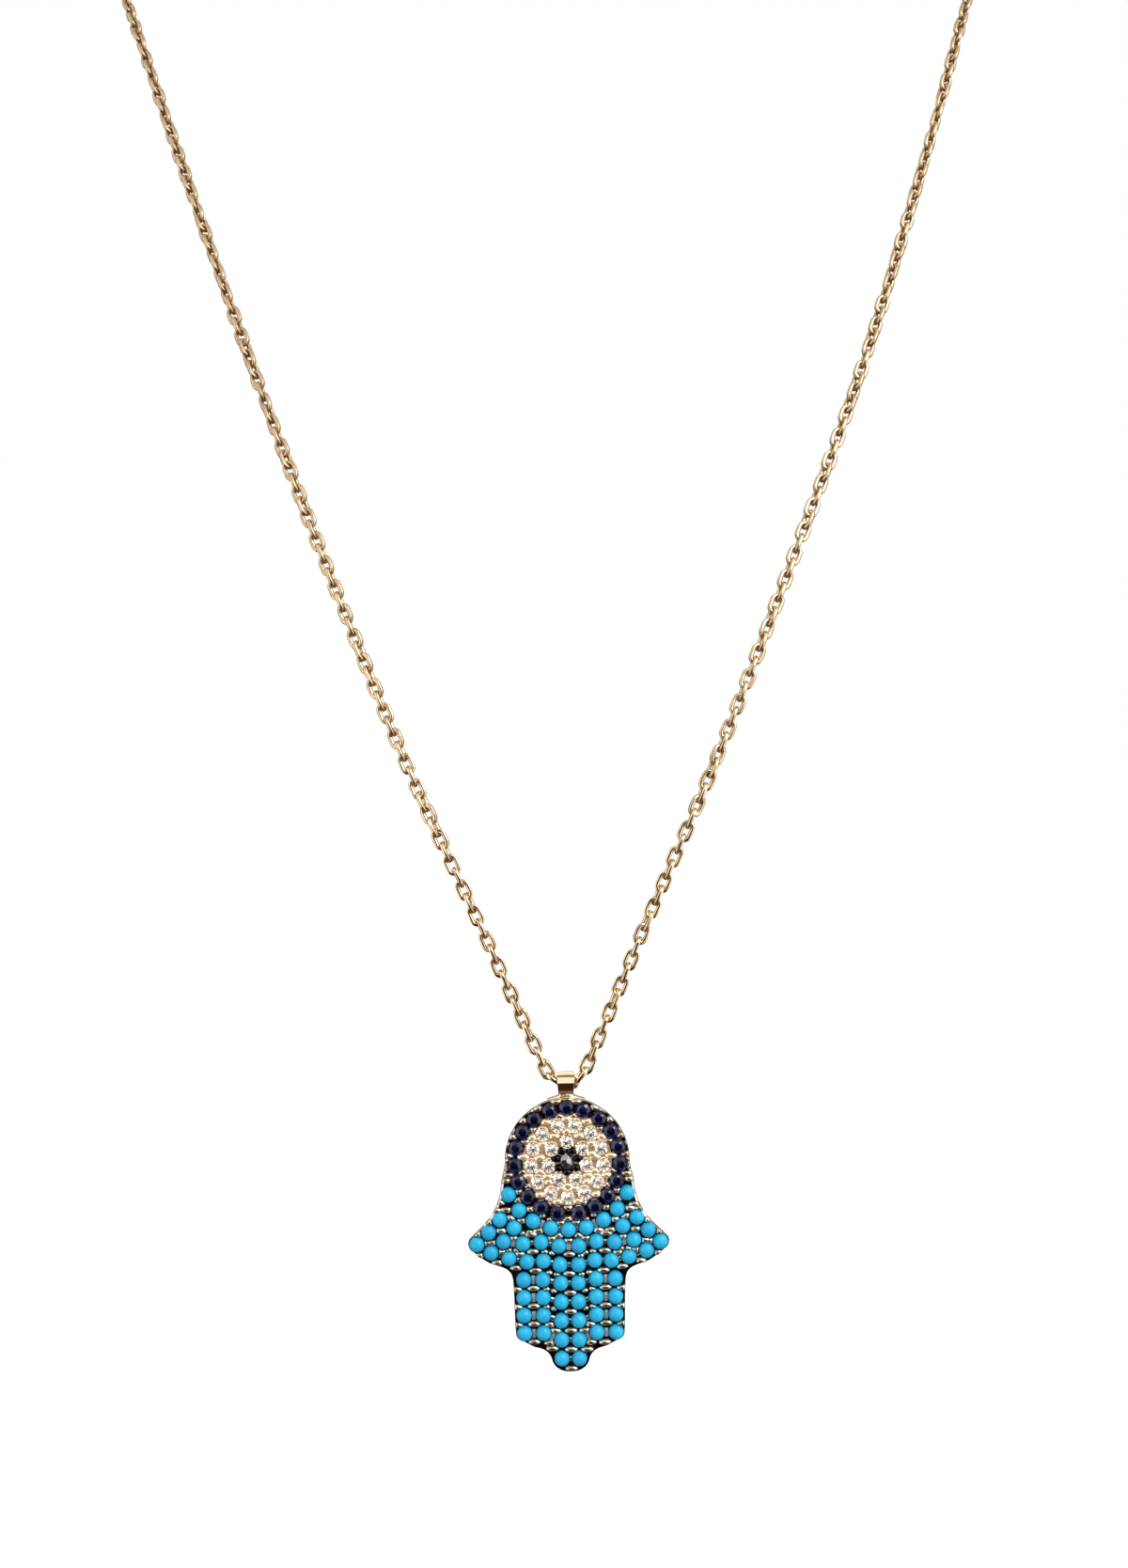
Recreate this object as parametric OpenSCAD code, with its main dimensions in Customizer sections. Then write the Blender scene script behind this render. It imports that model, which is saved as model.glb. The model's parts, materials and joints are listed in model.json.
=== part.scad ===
// Hamsa pendant on its fine cable chain, hanging as on a neck.
// Millimetres, +Z up, the pendant's stones face -Y.
// The origin is on the neck's axis, level with the chain at the sides of the neck.

/* [Stone layout] */
// Spacing of the stones, which sizes the whole hand
pitch = 1.3; // [1.3:0.02:1.6]
// Diameter of a turquoise dome
turquoise_d = 1.1; // [0.9:0.02:1.12]
// Diameter of a navy stone in the ring
navy_d = 1.1; // [0.9:0.02:1.12]
// Diameter of a clear stone in the eye
clear_d = 1.05; // [0.8:0.05:1.1]
// Diameter of the dark stone in the middle of the eye
pupil_d = 1.15; // [0.8:0.05:1.2]
// Play between a stone and its seat
seat_gap = 0.03; // [0.02:0.01:0.04]

/* [Stone heights] */
// Height of a turquoise dome above the plate
dome_h = 0.42; // [0.3:0.02:0.5]
// Height of a cut stone's crown above its girdle
crown_h = 0.22; // [0.15:0.01:0.3]
// Depth of a cut stone's pavilion below its girdle
pavilion_h = 0.45; // [0.35:0.01:0.5]
// Thickness of a cut stone's girdle
girdle_t = 0.06; // [0.04:0.01:0.1]
// Height of a cut stone's girdle above the plate
girdle_rise = 0.1; // [0.05:0.01:0.15]

/* [Plate] */
// Thickness of the plate
plate_t = 1.5; // [1.2:0.1:2.2]
// Depth of the seats that hold the stones
seat_depth = 0.4; // [0.3:0.05:0.6]
// Metal outside the ring of navy stones
rim_w = 0.17; // [0.12:0.01:0.3]
// Diameter of the light hole behind each stone
light_hole_d = 0.8; // [0.5:0.05:0.9]

/* [Prongs] */
// Diameter of a prong
prong_d = 0.32; // [0.2:0.02:0.34]
// Height of a prong above the plate
prong_h = 0.24; // [0.15:0.01:0.3]
// Gap between a prong and the stones
prong_gap = 0.05; // [0.04:0.01:0.06]

/* [Bail] */
// Gap between the chain and the bail
chain_gap = 0.2; // [0.15:0.05:0.4]
// Thickness of the bail's band
bail_wall = 0.23; // [0.2:0.01:0.35]
// Width of the bail's band at its top
bail_top_w = 1.5; // [1.3:0.1:2]
// Width of the bail's band where it meets the plate
bail_foot_w = 1.05; // [0.9:0.05:1.2]
// How far the bail's band sinks into the plate's edge
bail_sink = 0.17; // [0.1:0.01:0.2]
// Width of the solder saddle under the bail
saddle_w = 1.7; // [1.2:0.1:2]

/* [Chain and clasp] */
// Outer width of a link, which is the chain's thickness
chain_w = 1.1; // [0.9:0.05:1.3]
// Outer diameter of the spring ring clasp
clasp_d = 5; // [4:0.5:6]
// Wire of the spring ring
clasp_wire = 0.9; // [0.8:0.1:1.1]
// Outer diameter of the clasp's two eyes
eye_d = 2; // [1.7:0.1:2.2]
// Wire of the clasp's eyes
eye_wire = 0.5; // [0.4:0.05:0.6]
// Gap between an eye of the clasp and the chain
end_gap = 0.1; // [0.05:0.05:0.2]

/* [Hidden] */

gold = [0.93, 0.78, 0.45];
turquoise = [0.13, 0.68, 0.9];
navy = [0.06, 0.07, 0.25];
clear = [0.93, 0.93, 0.95];
black = [0.04, 0.05, 0.08];

// Fineness of round shapes
$fn = 48;
// Sides of a cut stone's girdle, and of its table
girdle_n = 16;
table_n = girdle_n / 2;
// Table's share of the stone's diameter
table_share = 0.55;

// Half of the chain from the middle of the bail's hole to the clasp's eye, the same on both sides
// but for a slight drift. Columns: aside, back, up, from the middle of the hole, and the drift to the right.
chain_route = [
    [0, 0, 0, 0], [0.6, 0, 0, 0], [1.2, 0, 0.3, 0], [1.65, 0, 1.1, 0], [2.2, 0, 2.8, 0],
    [3.7, 0.1, 6.2, 0], [6.4, 0.3, 12.4, 0.03], [11.4, 1.2, 23.5, 0.11], [17.5, 3.4, 38.4, 0.27],
    [24.1, 7.3, 55.3, 0.5], [31.1, 13.2, 74.8, 0.42], [35, 17, 86.2, 0.27], [39.8, 24.6, 98.6, 0.12],
    [45.2, 36, 109.2, 0.03], [48.9, 50.5, 118, 0], [47.3, 65.8, 126, 0], [40.3, 79.7, 132.5, 0],
    [28.6, 89.7, 137, 0], [15, 94.6, 139, 0], [4.35, 95.8, 139.5, 0]
];
// The bail's hole, seen from the origin on the neck's axis
bail_at = [0, -50, -120];
// Sides of the chain's tube, and its rings to each stretch of the route
chain_sides = 8;
chain_steps = 2;

// Turquoise domes of the palm, right half.
// Columns: right, down, from the middle of the eye, as shares of the pitch.
palm_chart = [
    [3.33, 1.86], [2.76, 2.74], [3.85, 3.23], [1.98, 3.35], [3.05, 3.71],
    [0.99, 3.75], [4.48, 3.95], [3.65, 4.48], [2.57, 4.61], [1.55, 4.54],
    [0.56, 4.77], [5.15, 4.62], [4.36, 5.1], [3.36, 5.42], [2.37, 5.63],
    [1.44, 5.6], [0.52, 5.83]
];
// The one dome on the centre line, straight under the eye
palm_centre = [0, 3.86];
// Outer fingers: two columns each, four rows
finger_columns = [1.49, 2.57];
finger_top = 6.65;
finger_step = 1;
finger_rows = 4;
// Middle finger: two columns, five rows, a little lower
middle_column = 0.49;
middle_top = 6.86;
middle_step = 1.06;
middle_rows = 5;

// Hand's right flank from the round top down to the thumb's tip, and on from
// the thumb to the outer finger's tip, as shares of the pitch
flank = [[3.52, 0], [3.71, 0.95], [3.85, 1.86], [4.11, 2.61], [4.55, 3.28], [5.51, 4.27]];
thumb_under = [[5.49, 4.98], [4.5, 5.71], [3.6, 6.04], [3.25, 6.4], [3.15, 7.27],
               [3.1, 9.24], [3.07, 9.65]];
// From the outer finger's tip round the middle finger's tip, nearly to the centre line
middle_under = [[2.6, 10.17], [2.1, 10.44], [1.58, 10.6], [1.28, 10.8], [1.11, 11.06],
                [1.02, 11.34], [0.82, 11.62], [0.48, 11.82], [0.14, 11.88]];
// Round tips, whose centres are stones: radius as shares of the pitch
thumb_tip_r = 0.51;
finger_tip_r = 0.505;
flank_steps = 4;

// Rings of the eye: counts, and the gap left open at the bottom of the navy ring
navy_n = 19;
navy_step = 18.7;
outer_clear_n = 13;
inner_clear_n = 7;
ring_gap = 0.94 * pitch;
navy_ring_r = 2.97 * pitch;
outer_clear_r = navy_ring_r - ring_gap;
inner_clear_r = outer_clear_r - ring_gap;
round_top_r = navy_ring_r + navy_d / 2 + rim_w;

bail_in_r = chain_w / 2 + chain_gap;
bail_out_r = bail_in_r + bail_wall;
// Middle of the bail's hole above the middle of the eye
bail_up = round_top_r - bail_sink + bail_out_r;
saddle_deep = 0.8;
saddle_up = 0.03;

// Lists of places, right and down positive, in millimetres from the middle of the eye
function both(p) = [p, [-p[0], p[1]]];
function fan(r, n, step, first) =
    [for (i = [0:n - 1]) let(a = first + i * step) [r * sin(a), -r * cos(a)]];
palm_stones = [for (p = palm_chart, q = both(p)) q * pitch];
finger_stones = [
    for (i = [0:finger_rows - 1], x = finger_columns, q = both([x, finger_top + i * finger_step]))
        q * pitch
];
middle_stones = [
    for (i = [0:middle_rows - 1], q = both([middle_column, middle_top + i * middle_step]))
        q * pitch
];
turquoise_at = concat([palm_centre * pitch], palm_stones, finger_stones, middle_stones);
navy_at = fan(navy_ring_r, navy_n, navy_step, -navy_step * (navy_n - 1) / 2);
outer_clear_at = fan(outer_clear_r, outer_clear_n, 360 / outer_clear_n, 180 / outer_clear_n);
inner_clear_at = fan(inner_clear_r, inner_clear_n, 360 / inner_clear_n, 0);
clear_at = concat(outer_clear_at, inner_clear_at);
pupil_at = [[0, 0]];

// Every stone's place and radius: right, down, radius
function sized(places, d) = [for (p = places) [p[0], p[1], d / 2]];
stones = concat(sized(turquoise_at, turquoise_d), sized(navy_at, navy_d),
                sized(clear_at, clear_d), sized(pupil_at, pupil_d));

// Prongs stand at four corners of each stone, wherever the stones leave room
// and at least two stones are near enough to be held.
// Round a stone of the eye's rings the corners turn with the ring.
prong_r = prong_d / 2;
prong_reach = 0.87 * pitch;
prong_space = prong_d + 0.14;
palm_corners = [45, 135, 225, 315];
ring_corners = [60, 135, 225, 300];
function in_ring(s) = norm([s[0], s[1]]) < navy_ring_r + ring_gap / 2;
function corners(s) = [
    for (a = in_ring(s) ? ring_corners : palm_corners)
        let(r = s[2] + prong_gap + prong_r, b = in_ring(s) ? a + atan2(s[0], -s[1]) : a)
            [s[0] + r * sin(b), s[1] - r * cos(b)]
];
function apart(p, s) = norm([p[0] - s[0], p[1] - s[1]]) - s[2];
function has_room(p) = min([for (s = stones) apart(p, s)]) >= prong_r + prong_gap - 0.001;
function holds_two(p) = len([for (s = stones) if (apart(p, s) + s[2] < prong_reach) 1]) > 1;
corner_spots = [for (s = stones, p = corners(s)) if (has_room(p) && holds_two(p)) p];
prong_spots = [
    for (i = [0:len(corner_spots) - 1])
        if (len([for (j = [0:1:i - 1]) if (norm(corner_spots[j] - corner_spots[i]) < prong_space) 1]) == 0)
            corner_spots[i]
];

// A smooth curve through points, leaving along the first direction and arriving
// along the last. Each stretch bends by its own length.
function heading(p, i, first, last) =
    i == 0 ? first : i == len(p) - 1 ? last : (p[i + 1] - p[i - 1]) / norm(p[i + 1] - p[i - 1]);
function bend(a, b, ta, tb, s) = let(l = norm(b - a))
    (2 * s^3 - 3 * s^2 + 1) * a + (s^3 - 2 * s^2 + s) * l * ta
    + (3 * s^2 - 2 * s^3) * b + (s^3 - s^2) * l * tb;
function curve(p, steps, first, last) = concat(
    [for (i = [0:len(p) - 2], k = [0:steps - 1])
        bend(p[i], p[i + 1], heading(p, i, first, last), heading(p, i + 1, first, last), k / steps)],
    [p[len(p) - 1]]);

// Outline of the hand: right half as a curve, its mirror, and the round tips
function unit(v) = v / norm(v);
function flip(points) = [for (i = [len(points) - 1:-1:0]) [-points[i][0], points[i][1]]];
flank_curve = curve(flank, flank_steps, [0, 1], unit([1, 1]));
under_curve = curve(thumb_under, flank_steps, unit([-1, 0.85]), [0, 1]);
middle_curve = curve(middle_under, flank_steps, unit([-1, 0.45]), [-1, 0]);
half_outline = concat(flank_curve, under_curve, middle_curve);
full_outline = [for (p = concat(half_outline, flip(half_outline))) [p[0], -p[1]] * pitch];
thumb_tip = palm_chart[11];
finger_tip = [finger_columns[1], finger_top + finger_step * (finger_rows - 1)];

module hand_outline() {
    circle(r = round_top_r);
    polygon(full_outline);
    for (q = both(thumb_tip)) translate([q[0], -q[1]] * pitch) circle(r = thumb_tip_r * pitch);
    for (q = both(finger_tip)) translate([q[0], -q[1]] * pitch) circle(r = finger_tip_r * pitch);
}

// Stands the flat pendant up: its face turns to -Y and hangs under the bail
module hang() {
    translate(bail_at + [0, 0, -bail_up]) rotate([90, 0, 0]) translate([0, 0, plate_t / 2]) children();
}

module plate() {
    translate([0, 0, -seat_depth]) linear_extrude(seat_depth) difference() {
        hand_outline();
        for (s = stones) translate([s[0], -s[1]]) circle(r = s[2] + seat_gap);
    }
    translate([0, 0, -plate_t]) linear_extrude(plate_t - seat_depth) difference() {
        hand_outline();
        for (s = stones) translate([s[0], -s[1]]) circle(d = light_hole_d);
    }
}

module prongs() {
    root = 0.1;
    translate([0, 0, -root]) for (p = prong_spots)
        translate([p[0], -p[1], 0]) cylinder(r = prong_r, h = prong_h + root, $fn = 16);
}

module bail() {
    translate([0, bail_up, -plate_t / 2]) intersection() {
        rotate([0, 90, 0]) difference() {
            cylinder(r = bail_out_r, h = bail_top_w + 1, center = true);
            cylinder(r = bail_in_r, h = bail_top_w + 2, center = true);
        }
        translate([0, 0, -bail_out_r - 1]) linear_extrude(2 * bail_out_r + 2) polygon([
            [-bail_foot_w / 2, -bail_out_r - 1], [bail_foot_w / 2, -bail_out_r - 1],
            [bail_foot_w / 2, -bail_out_r], [bail_top_w / 2, bail_out_r / 2],
            [bail_top_w / 2, bail_out_r + 1], [-bail_top_w / 2, bail_out_r + 1],
            [-bail_top_w / 2, bail_out_r / 2], [-bail_foot_w / 2, -bail_out_r]]);
    }
}

module saddle() {
    low = round_top_r - 0.3;
    translate([-saddle_w / 2, low, -plate_t / 2 - saddle_deep / 2])
        cube([saddle_w, 0.3 + saddle_up, saddle_deep]);
}

module setting() {
    color(gold) hang() {
        plate();
        prongs();
        bail();
        saddle();
    }
}

// A low round dome with a straight skirt down into its seat
module cabochon(d, h) {
    skirt = seat_depth - 0.06;
    ball_r = (h * h + d * d / 4) / (2 * h);
    translate([0, 0, -skirt]) cylinder(d = d, h = skirt);
    rotate_extrude() intersection() {
        translate([0, h - ball_r]) circle(r = ball_r, $fn = 96);
        square([d / 2, h]);
    }
}

// A round cut stone: table, crown, girdle and pavilion with a point
module cut_stone(d) {
    r = d / 2;
    low = girdle_rise;
    girdle_low = [for (i = [0:girdle_n - 1]) let(a = 360 * i / girdle_n) [r * cos(a), r * sin(a), low]];
    girdle_high = [for (p = girdle_low) p + [0, 0, girdle_t]];
    table = [for (i = [0:table_n - 1]) let(a = 360 * (i + 0.5) / table_n)
        [r * table_share * cos(a), r * table_share * sin(a), low + girdle_t + crown_h]];
    t = 2 * girdle_n;
    tip = t + table_n;
    points = concat(girdle_low, girdle_high, table, [[0, 0, low - pavilion_h]]);
    sides = [for (i = [0:girdle_n - 1]) let(j = (i + 1) % girdle_n)
        [i, girdle_n + i, girdle_n + j, j]];
    pavilion = [for (i = [0:girdle_n - 1]) [i, (i + 1) % girdle_n, tip]];
    bezels = [for (i = [0:table_n - 1]) let(g = girdle_n + 2 * i)
        each [[g, t + i, g + 1], [g + 1, t + i, girdle_n + (2 * i + 2) % girdle_n]]];
    stars = [for (i = [0:table_n - 1]) let(j = (i + 1) % table_n)
        [girdle_n + (2 * i + 2) % girdle_n, t + i, t + j]];
    top = [[for (i = [table_n - 1:-1:0]) t + i]];
    polyhedron(points, concat(sides, pavilion, bezels, stars, top));
}

module set_at(places) {
    for (p = places) translate([p[0], -p[1], 0]) children();
}

module turquoise_stones() {
    color(turquoise) hang() set_at(turquoise_at) cabochon(turquoise_d, dome_h);
}

module navy_stones() {
    color(navy) hang() set_at(navy_at) cut_stone(navy_d);
}

module clear_stones() {
    color(clear) hang() set_at(clear_at) cut_stone(clear_d);
}

module pupil_stone() {
    color(black) hang() set_at(pupil_at) cut_stone(pupil_d);
}

// A tube swept along points: one closed polyhedron of flat-sided rings
module tube(path, r) {
    n = len(path);
    aside = [0, -0.5, 0.86];
    rings = [for (i = [0:n - 1]) let(
        t = i == 0 ? [1, 0, 0] : i == n - 1 ? [-1, 0, 0] : unit(path[i + 1] - path[i - 1]),
        u = unit(cross(t, aside)), v = cross(t, u))
        for (k = [0:chain_sides - 1]) let(a = 360 * k / chain_sides)
            path[i] + r * (cos(a) * u + sin(a) * v)];
    walls = [for (i = [0:n - 2], k = [0:chain_sides - 1])
        let(a = i * chain_sides + k, b = i * chain_sides + (k + 1) % chain_sides)
            [a, a + chain_sides, b + chain_sides, b]];
    start = [for (k = [0:chain_sides - 1]) k];
    end = [for (k = [chain_sides - 1:-1:0]) (n - 1) * chain_sides + k];
    polyhedron(rings, concat(walls, [start, end]));
}

// The chain's last point follows the clasp's size
clasp_r = clasp_d / 2;
eye_at = clasp_r + eye_d / 2 - eye_wire / 2;
chain_end = eye_at + eye_d / 2 + end_gap;
clasp_at = [0, chain_route[len(chain_route) - 1][1], chain_route[len(chain_route) - 1][2]];
function half_route(side) = concat(
    [for (i = [0:len(chain_route) - 2]) let(p = chain_route[i]) [p[0] + side * p[3], p[1], p[2]]],
    [[chain_end, clasp_at[1], clasp_at[2]]]);

// The right half of the chain, or the left one with its drift, still to be mirrored
module half_chain(side) {
    tube(curve(half_route(side), chain_steps, [1, 0, 0], [-1, 0, 0]), chain_w / 2);
}

module chain_right() {
    color(gold) translate(bail_at) half_chain(1);
}

module chain_left() {
    color(gold) translate(bail_at) mirror([1, 0, 0]) half_chain(-1);
}

module hoop(d, wire) {
    rotate([90, 0, 0]) rotate_extrude() translate([(d - wire) / 2, 0]) circle(d = wire, $fn = 24);
}

module clasp() {
    color(gold) translate(bail_at + clasp_at) {
        hoop(clasp_d, clasp_wire);
        for (s = [-1, 1]) translate([s * eye_at, 0, 0]) hoop(eye_d, eye_wire);
    }
}

setting();
turquoise_stones();
navy_stones();
clear_stones();
pupil_stone();
chain_left();
chain_right();
clasp();
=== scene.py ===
"""Hamsa pendant on its cable chain, hanging as on a neck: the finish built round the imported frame.

Places come from the frame: the stones, the prongs, the plate's outline and the bail's hole.
The pendant is drawn flat in millimetres: x to the right and y up from the middle of the eye, z out of
the plate's front. It is then stood up by one matrix. The chain is drawn in millimetres from the bail's
hole.
"""
import json
import math
import random

import bmesh
import bpy
from mathutils import Matrix, Vector


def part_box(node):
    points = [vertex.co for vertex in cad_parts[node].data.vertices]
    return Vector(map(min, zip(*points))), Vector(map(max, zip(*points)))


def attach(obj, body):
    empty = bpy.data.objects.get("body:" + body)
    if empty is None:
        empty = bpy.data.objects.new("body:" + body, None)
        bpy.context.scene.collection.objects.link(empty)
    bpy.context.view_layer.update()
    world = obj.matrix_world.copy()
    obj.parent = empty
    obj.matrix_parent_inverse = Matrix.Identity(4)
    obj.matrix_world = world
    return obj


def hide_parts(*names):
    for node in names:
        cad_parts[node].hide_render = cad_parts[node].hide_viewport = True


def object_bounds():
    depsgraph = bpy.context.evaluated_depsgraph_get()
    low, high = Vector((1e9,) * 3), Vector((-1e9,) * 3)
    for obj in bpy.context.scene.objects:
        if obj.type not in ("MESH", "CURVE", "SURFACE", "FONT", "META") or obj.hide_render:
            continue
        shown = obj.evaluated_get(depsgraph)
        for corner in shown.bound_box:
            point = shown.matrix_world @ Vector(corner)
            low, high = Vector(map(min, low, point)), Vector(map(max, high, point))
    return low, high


MM = 0.001
SEED = 7

# Camera: its place in metres, its slight roll, and its lens
CAMERA_AT = Vector((0.00027, -0.155, -0.09794))
CAMERA_ROLL = math.radians(1.05)
FOCAL_PIXELS = 1522
PHOTO_HEIGHT = 1668
SENSOR_MM = 24

# Plate, in millimetres: levels out of its front, and depths inwards from its outline
PLATE_T = 1.5
FRONT_FLOOR = -0.16
EYE_FLOOR = 0.02
LAYER_SPLIT = -0.42
LAYER_OVERLAP = 0.05
LEVEL_PLAY = 0.002
FRONT_INSET = 0.05
BACK_TAPER = 0.26
BACK_EDGE = 0.03
SEAT_PLAY = 0.02
SEAT_EDGE = 0.012
SEAT_SIDES = 28
EYE_DISC_PLAY = 0.09
EYE_SIDES = 96
LIGHT_HOLE_R = 0.4
LIGHT_HOLE_SIDES = 24
LIGHT_HOLE_SPARE = 0.09

# How near the outline's stretches count as bounds of a spot
NEARBY = 1.8

# Rim: its width, its width down the flanks, and between which heights the flanks run, where the rim is paler
# as a painted highlight
RIM_W = 0.07
RIM_FLANK_W = 0.22
RIM_SMOOTHINGS = 4
FLANK_SPAN = (-4.6, 0.2)

# Section of the edge from the back up: the wall by depth and level, then the rim by share of width and level
WALL_PROFILE = (
    (BACK_TAPER + 0.03, -PLATE_T + 0.02),
    (0.22, -PLATE_T + 0.07),
    (0.18, -PLATE_T + 0.2),
    (0.03, LAYER_SPLIT),
)
RIM_PROFILE = ((0, -0.26), (0.12, -0.19), (0.9, -0.05), (1, -0.07), (1, LAYER_SPLIT))

# Domes
DOME_SIDES = 32
DOME_RINGS = 9
DOME_TOP_SHARE = 0.3
DOME_HEIGHTS = (0.94, 1.0)
DOME_LEAN = 0.05
STONE_SKIRT = 0.34

# Cut stones
GIRDLE_LOW = 0.1
GIRDLE_HIGH = 0.14
GIRDLE_PLAY = 0.01
CROWN_HEIGHT = 0.2
PAVILION_DEPTH_SHARE = 0.86
TABLE_SHARE = 0.56
CROWN_MID_SHARE = 0.78
PAVILION_MID_SHARE = 0.25
NAVY_LEAN = 0.1
CLEAR_LEAN = 0.06
PUPIL_FACES = (math.radians(20), math.radians(12))
PUPIL_TABLE_SHARE = 0.34

# Where prongs stand: how far each may move to find room, and the room and distance that it needs
FRAME_PRONG_MOVE = 0.16
GAP_PRONG_MOVE = 0.5
RIM_PRONG_MOVE = 0.25
MOVES = (0.12, 0.08, 0.04, 0.02, 0.01)
MOVE_WAYS = 8
PRONG_ROOM = 0.1
PRONG_APART = 0.4
NEIGHBOURS = 8
GAP_LIMIT = 0.7
GAP_END = 0.45
RIM_LEAN = 0.06
RIM_PRONG_IN = 0.3
RIM_PRONGS_ABOVE = -5.6
PUPIL_ZONE = 1.12

# Shapes of prongs: reach aside and up, how clear of the stones, and levels
PRONG_SIDES = 28
PALE_REACH = (0.56, 0.2)
HALF_REACH = (0.27, 0.18)
GOLD_REACH = (0.5, 0.24)
BLACK_REACH = (0.42, 0.28)
PALE_CLEAR = 0.02
GOLD_CLEAR = -0.05
BLACK_CLEAR = -0.12
RIM_CLEAR = 0.03
REACH_FROM = 0.05
REACH_STEP = 0.015
PRONG_LOW = LAYER_SPLIT + 0.1
PRONG_TOP = 0.22
PRONG_TOP_PLAY = (-0.03, 0.02)
BLACK_RISE = 0.1
BEAD_FOOT = -0.02
BEAD_SLOPES = (0, 22, 42, 60, 76)

# Prongs split in two, where the stones at their left and right stand at different heights
BESIDE = (0.2, 1.1)
STAGGER_LEAST = 0.12
HALF_ASIDE = 0.27
HALF_SHIFT = 0.14

# Thin walls between stones side by side
WALL_GAP_LIMIT = 0.36
WALL_TILT_LIMIT = 0.4
WALL_CLEAR = 0.015
WALL_LAYERS = ((1.0, PRONG_LOW), (1.0, -0.03), (0.5, 0.03))
WALL_CORNERS = ((-1, -1), (1, -1), (1, 1), (-1, 1))
WIDE_WALL = 0.12
WIDE_WALL_REACH = 0.3
SLIM_WALL_REACH = 0.16

# Bail
BAIL_IN_R = 0.75
BAIL_OUT_R = 0.98
BAIL_TOP_W = 1.3
BAIL_FOOT_W = 1.04
BAIL_STEPS = 72
BAIL_SWELL = 1.25
BAIL_SWELL_POWER = 0.8

# Saddle of solder under the bail: the right side of its outline from the hand's top, its foot, and its levels
SADDLE_SIDE = ((0.5, 0.24), (0.52, 0.12), (0.62, 0.04), (0.85, -0.05), (1.15, -0.13), (1.4, -0.24))
SADDLE_FOOT = (1.2, -0.5)
SADDLE_SPAN = (-PLATE_T + 0.32, -0.24)
SADDLE_EDGE = 0.1

# Bars of solder at the bail's foot: half length, height above the hand's top, level, radius
FOOT_BARS = ((1.2, -0.13, -0.12, 0.13), (0.6, 0.07, -0.16, 0.1), (0.53, 0.28, -0.1, 0.06))
BAR_STEPS = 16
BAR_SIDES = 12
BAR_END = 0.04

# Chain, in millimetres. The section is half of the wire's, in shares of its radius, from its outer side in.
# It turns by the twist over that length, each link sways a little, and its gold is dull by the last value:
# rougher, and darker in colour as a painted shade.
LINK_PITCH = 1.03
LINK_W = 1.1
LINK_WIRE = 0.34
LINK_SECTION = ((1.0, 0.55), (0.8, 0.8), (0.45, 0.95), (0.0, 1.0), (-0.5, 0.88), (-0.86, 0.5), (-1.0, 0.0))
LINK_ARC_STEPS = 7
LINK_SWAY = 0.3
CHAIN_PHASE = 0.2
END_SPARE = 0.98
TWIST_AT_TOP = math.radians(45)
TWIST_LENGTH = 120
CHAIN_SHADE_BY = 60

# Half of the chain from the middle of the bail's hole to the clasp's eye.
# Columns: aside, back, up, and how far the whole chain drifts to the right there.
CHAIN_ROUTE = [
    (0, 0, 0.16, 0), (0.6, 0, 0.26, 0), (1.15, 0, 0.72, 0), (1.58, 0, 1.4, 0), (2.22, 0, 2.8, 0),
    (3.7, 0.1, 6.2, 0), (6.4, 0.3, 12.4, 0.03), (11.4, 1.2, 23.5, 0.11), (17.5, 3.4, 38.4, 0.27),
    (24.1, 7.3, 55.3, 0.5), (31.1, 13.2, 74.8, 0.42), (35, 17, 86.2, 0.27), (39.8, 24.6, 98.6, 0.12),
    (45.2, 36, 109.2, 0.03), (48.9, 50.5, 118, 0), (47.3, 65.8, 126, 0), (40.3, 79.7, 132.5, 0),
    (28.6, 89.7, 137, 0), (15, 94.6, 139, 0), (4.35, 95.8, 139.5, 0),
]
ROUTE_STEPS = 12

# Clasp and the jump rings that join it
CLASP_R = 2.5
CLASP_WIRE_R = 0.45
CLASP_GAP = 0.42
BOLT_SHARE = 0.62
CLASP_EYE_R = 1.0
CLASP_EYE_WIRE_R = 0.25
JUMP_RING_R = 0.85
JUMP_RING_WIRE_R = 0.16
JUMP_RING_ASIDE = 1.05
JUMP_RING_AXIS = (0.25, 0.3, 1)

# Floor, in metres
FLOOR_HALF = 2.0
FLOOR_DROP = 0.06
FLOOR_TONE = (0.95, 0.945, 0.94, 1)
FLOOR_ROUGHNESS = 0.9
FLOOR_GLOW = 0.5

# Key light, in metres and watts, and how far under the eye it aims
KEY_AT = (0.16, -0.26, 0.08)
KEY_SIZE = 0.16
KEY_WATTS = 0.9
KEY_AIM_DROP = 0.003

# Studio seen in reflections: tones, and the shares of the direction between which each one sets in
BACK_LIGHT = (0.42, 0.38, 0.32, 1)
FRONT_LIGHT = (0.45, 0.43, 0.4, 1)
TOP_LIGHT = (1.1, 1.08, 1.04, 1)
STRIP_LIGHT = (2.0, 1.98, 1.95, 1)
GROUND_LIGHT = (0.18, 0.14, 0.1, 1)
GAP_LIGHT = (0.042, 0.016, 0.01, 1)
ZENITH_LIGHT = (0.3, 0.23, 0.15, 1)
FILL_LIGHT = (0.8, 0.8, 0.8, 1)
FILL_SHARE = 0.6
FRONT_FROM = (0.1, -0.1)
TOP_FROM = (0.36, 0.44)
STRIP_FROM = (0.5, 0.58)
STRIP_TO = (0.995, 0.96)
STRIP_FOOT = (-0.66, -0.52)
GROUND_FROM = (-0.38, -0.55)
GAP_SIDES = (0.38, 0.26)
GAP_TOP = (0.42, 0.34)
GAP_FOOT = (-0.72, -0.62)
ZENITH_FROM = (0.955, 0.985)

# Metals: the scales of their tone, patches and polishing marks, each per millimetre, and the marks' depth
TONE_SCALE = 1.3
PATCH_SCALE = 3.1
MARK_SCALE = 14.0
MARK_DEPTH = 0.02 * MM


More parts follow.
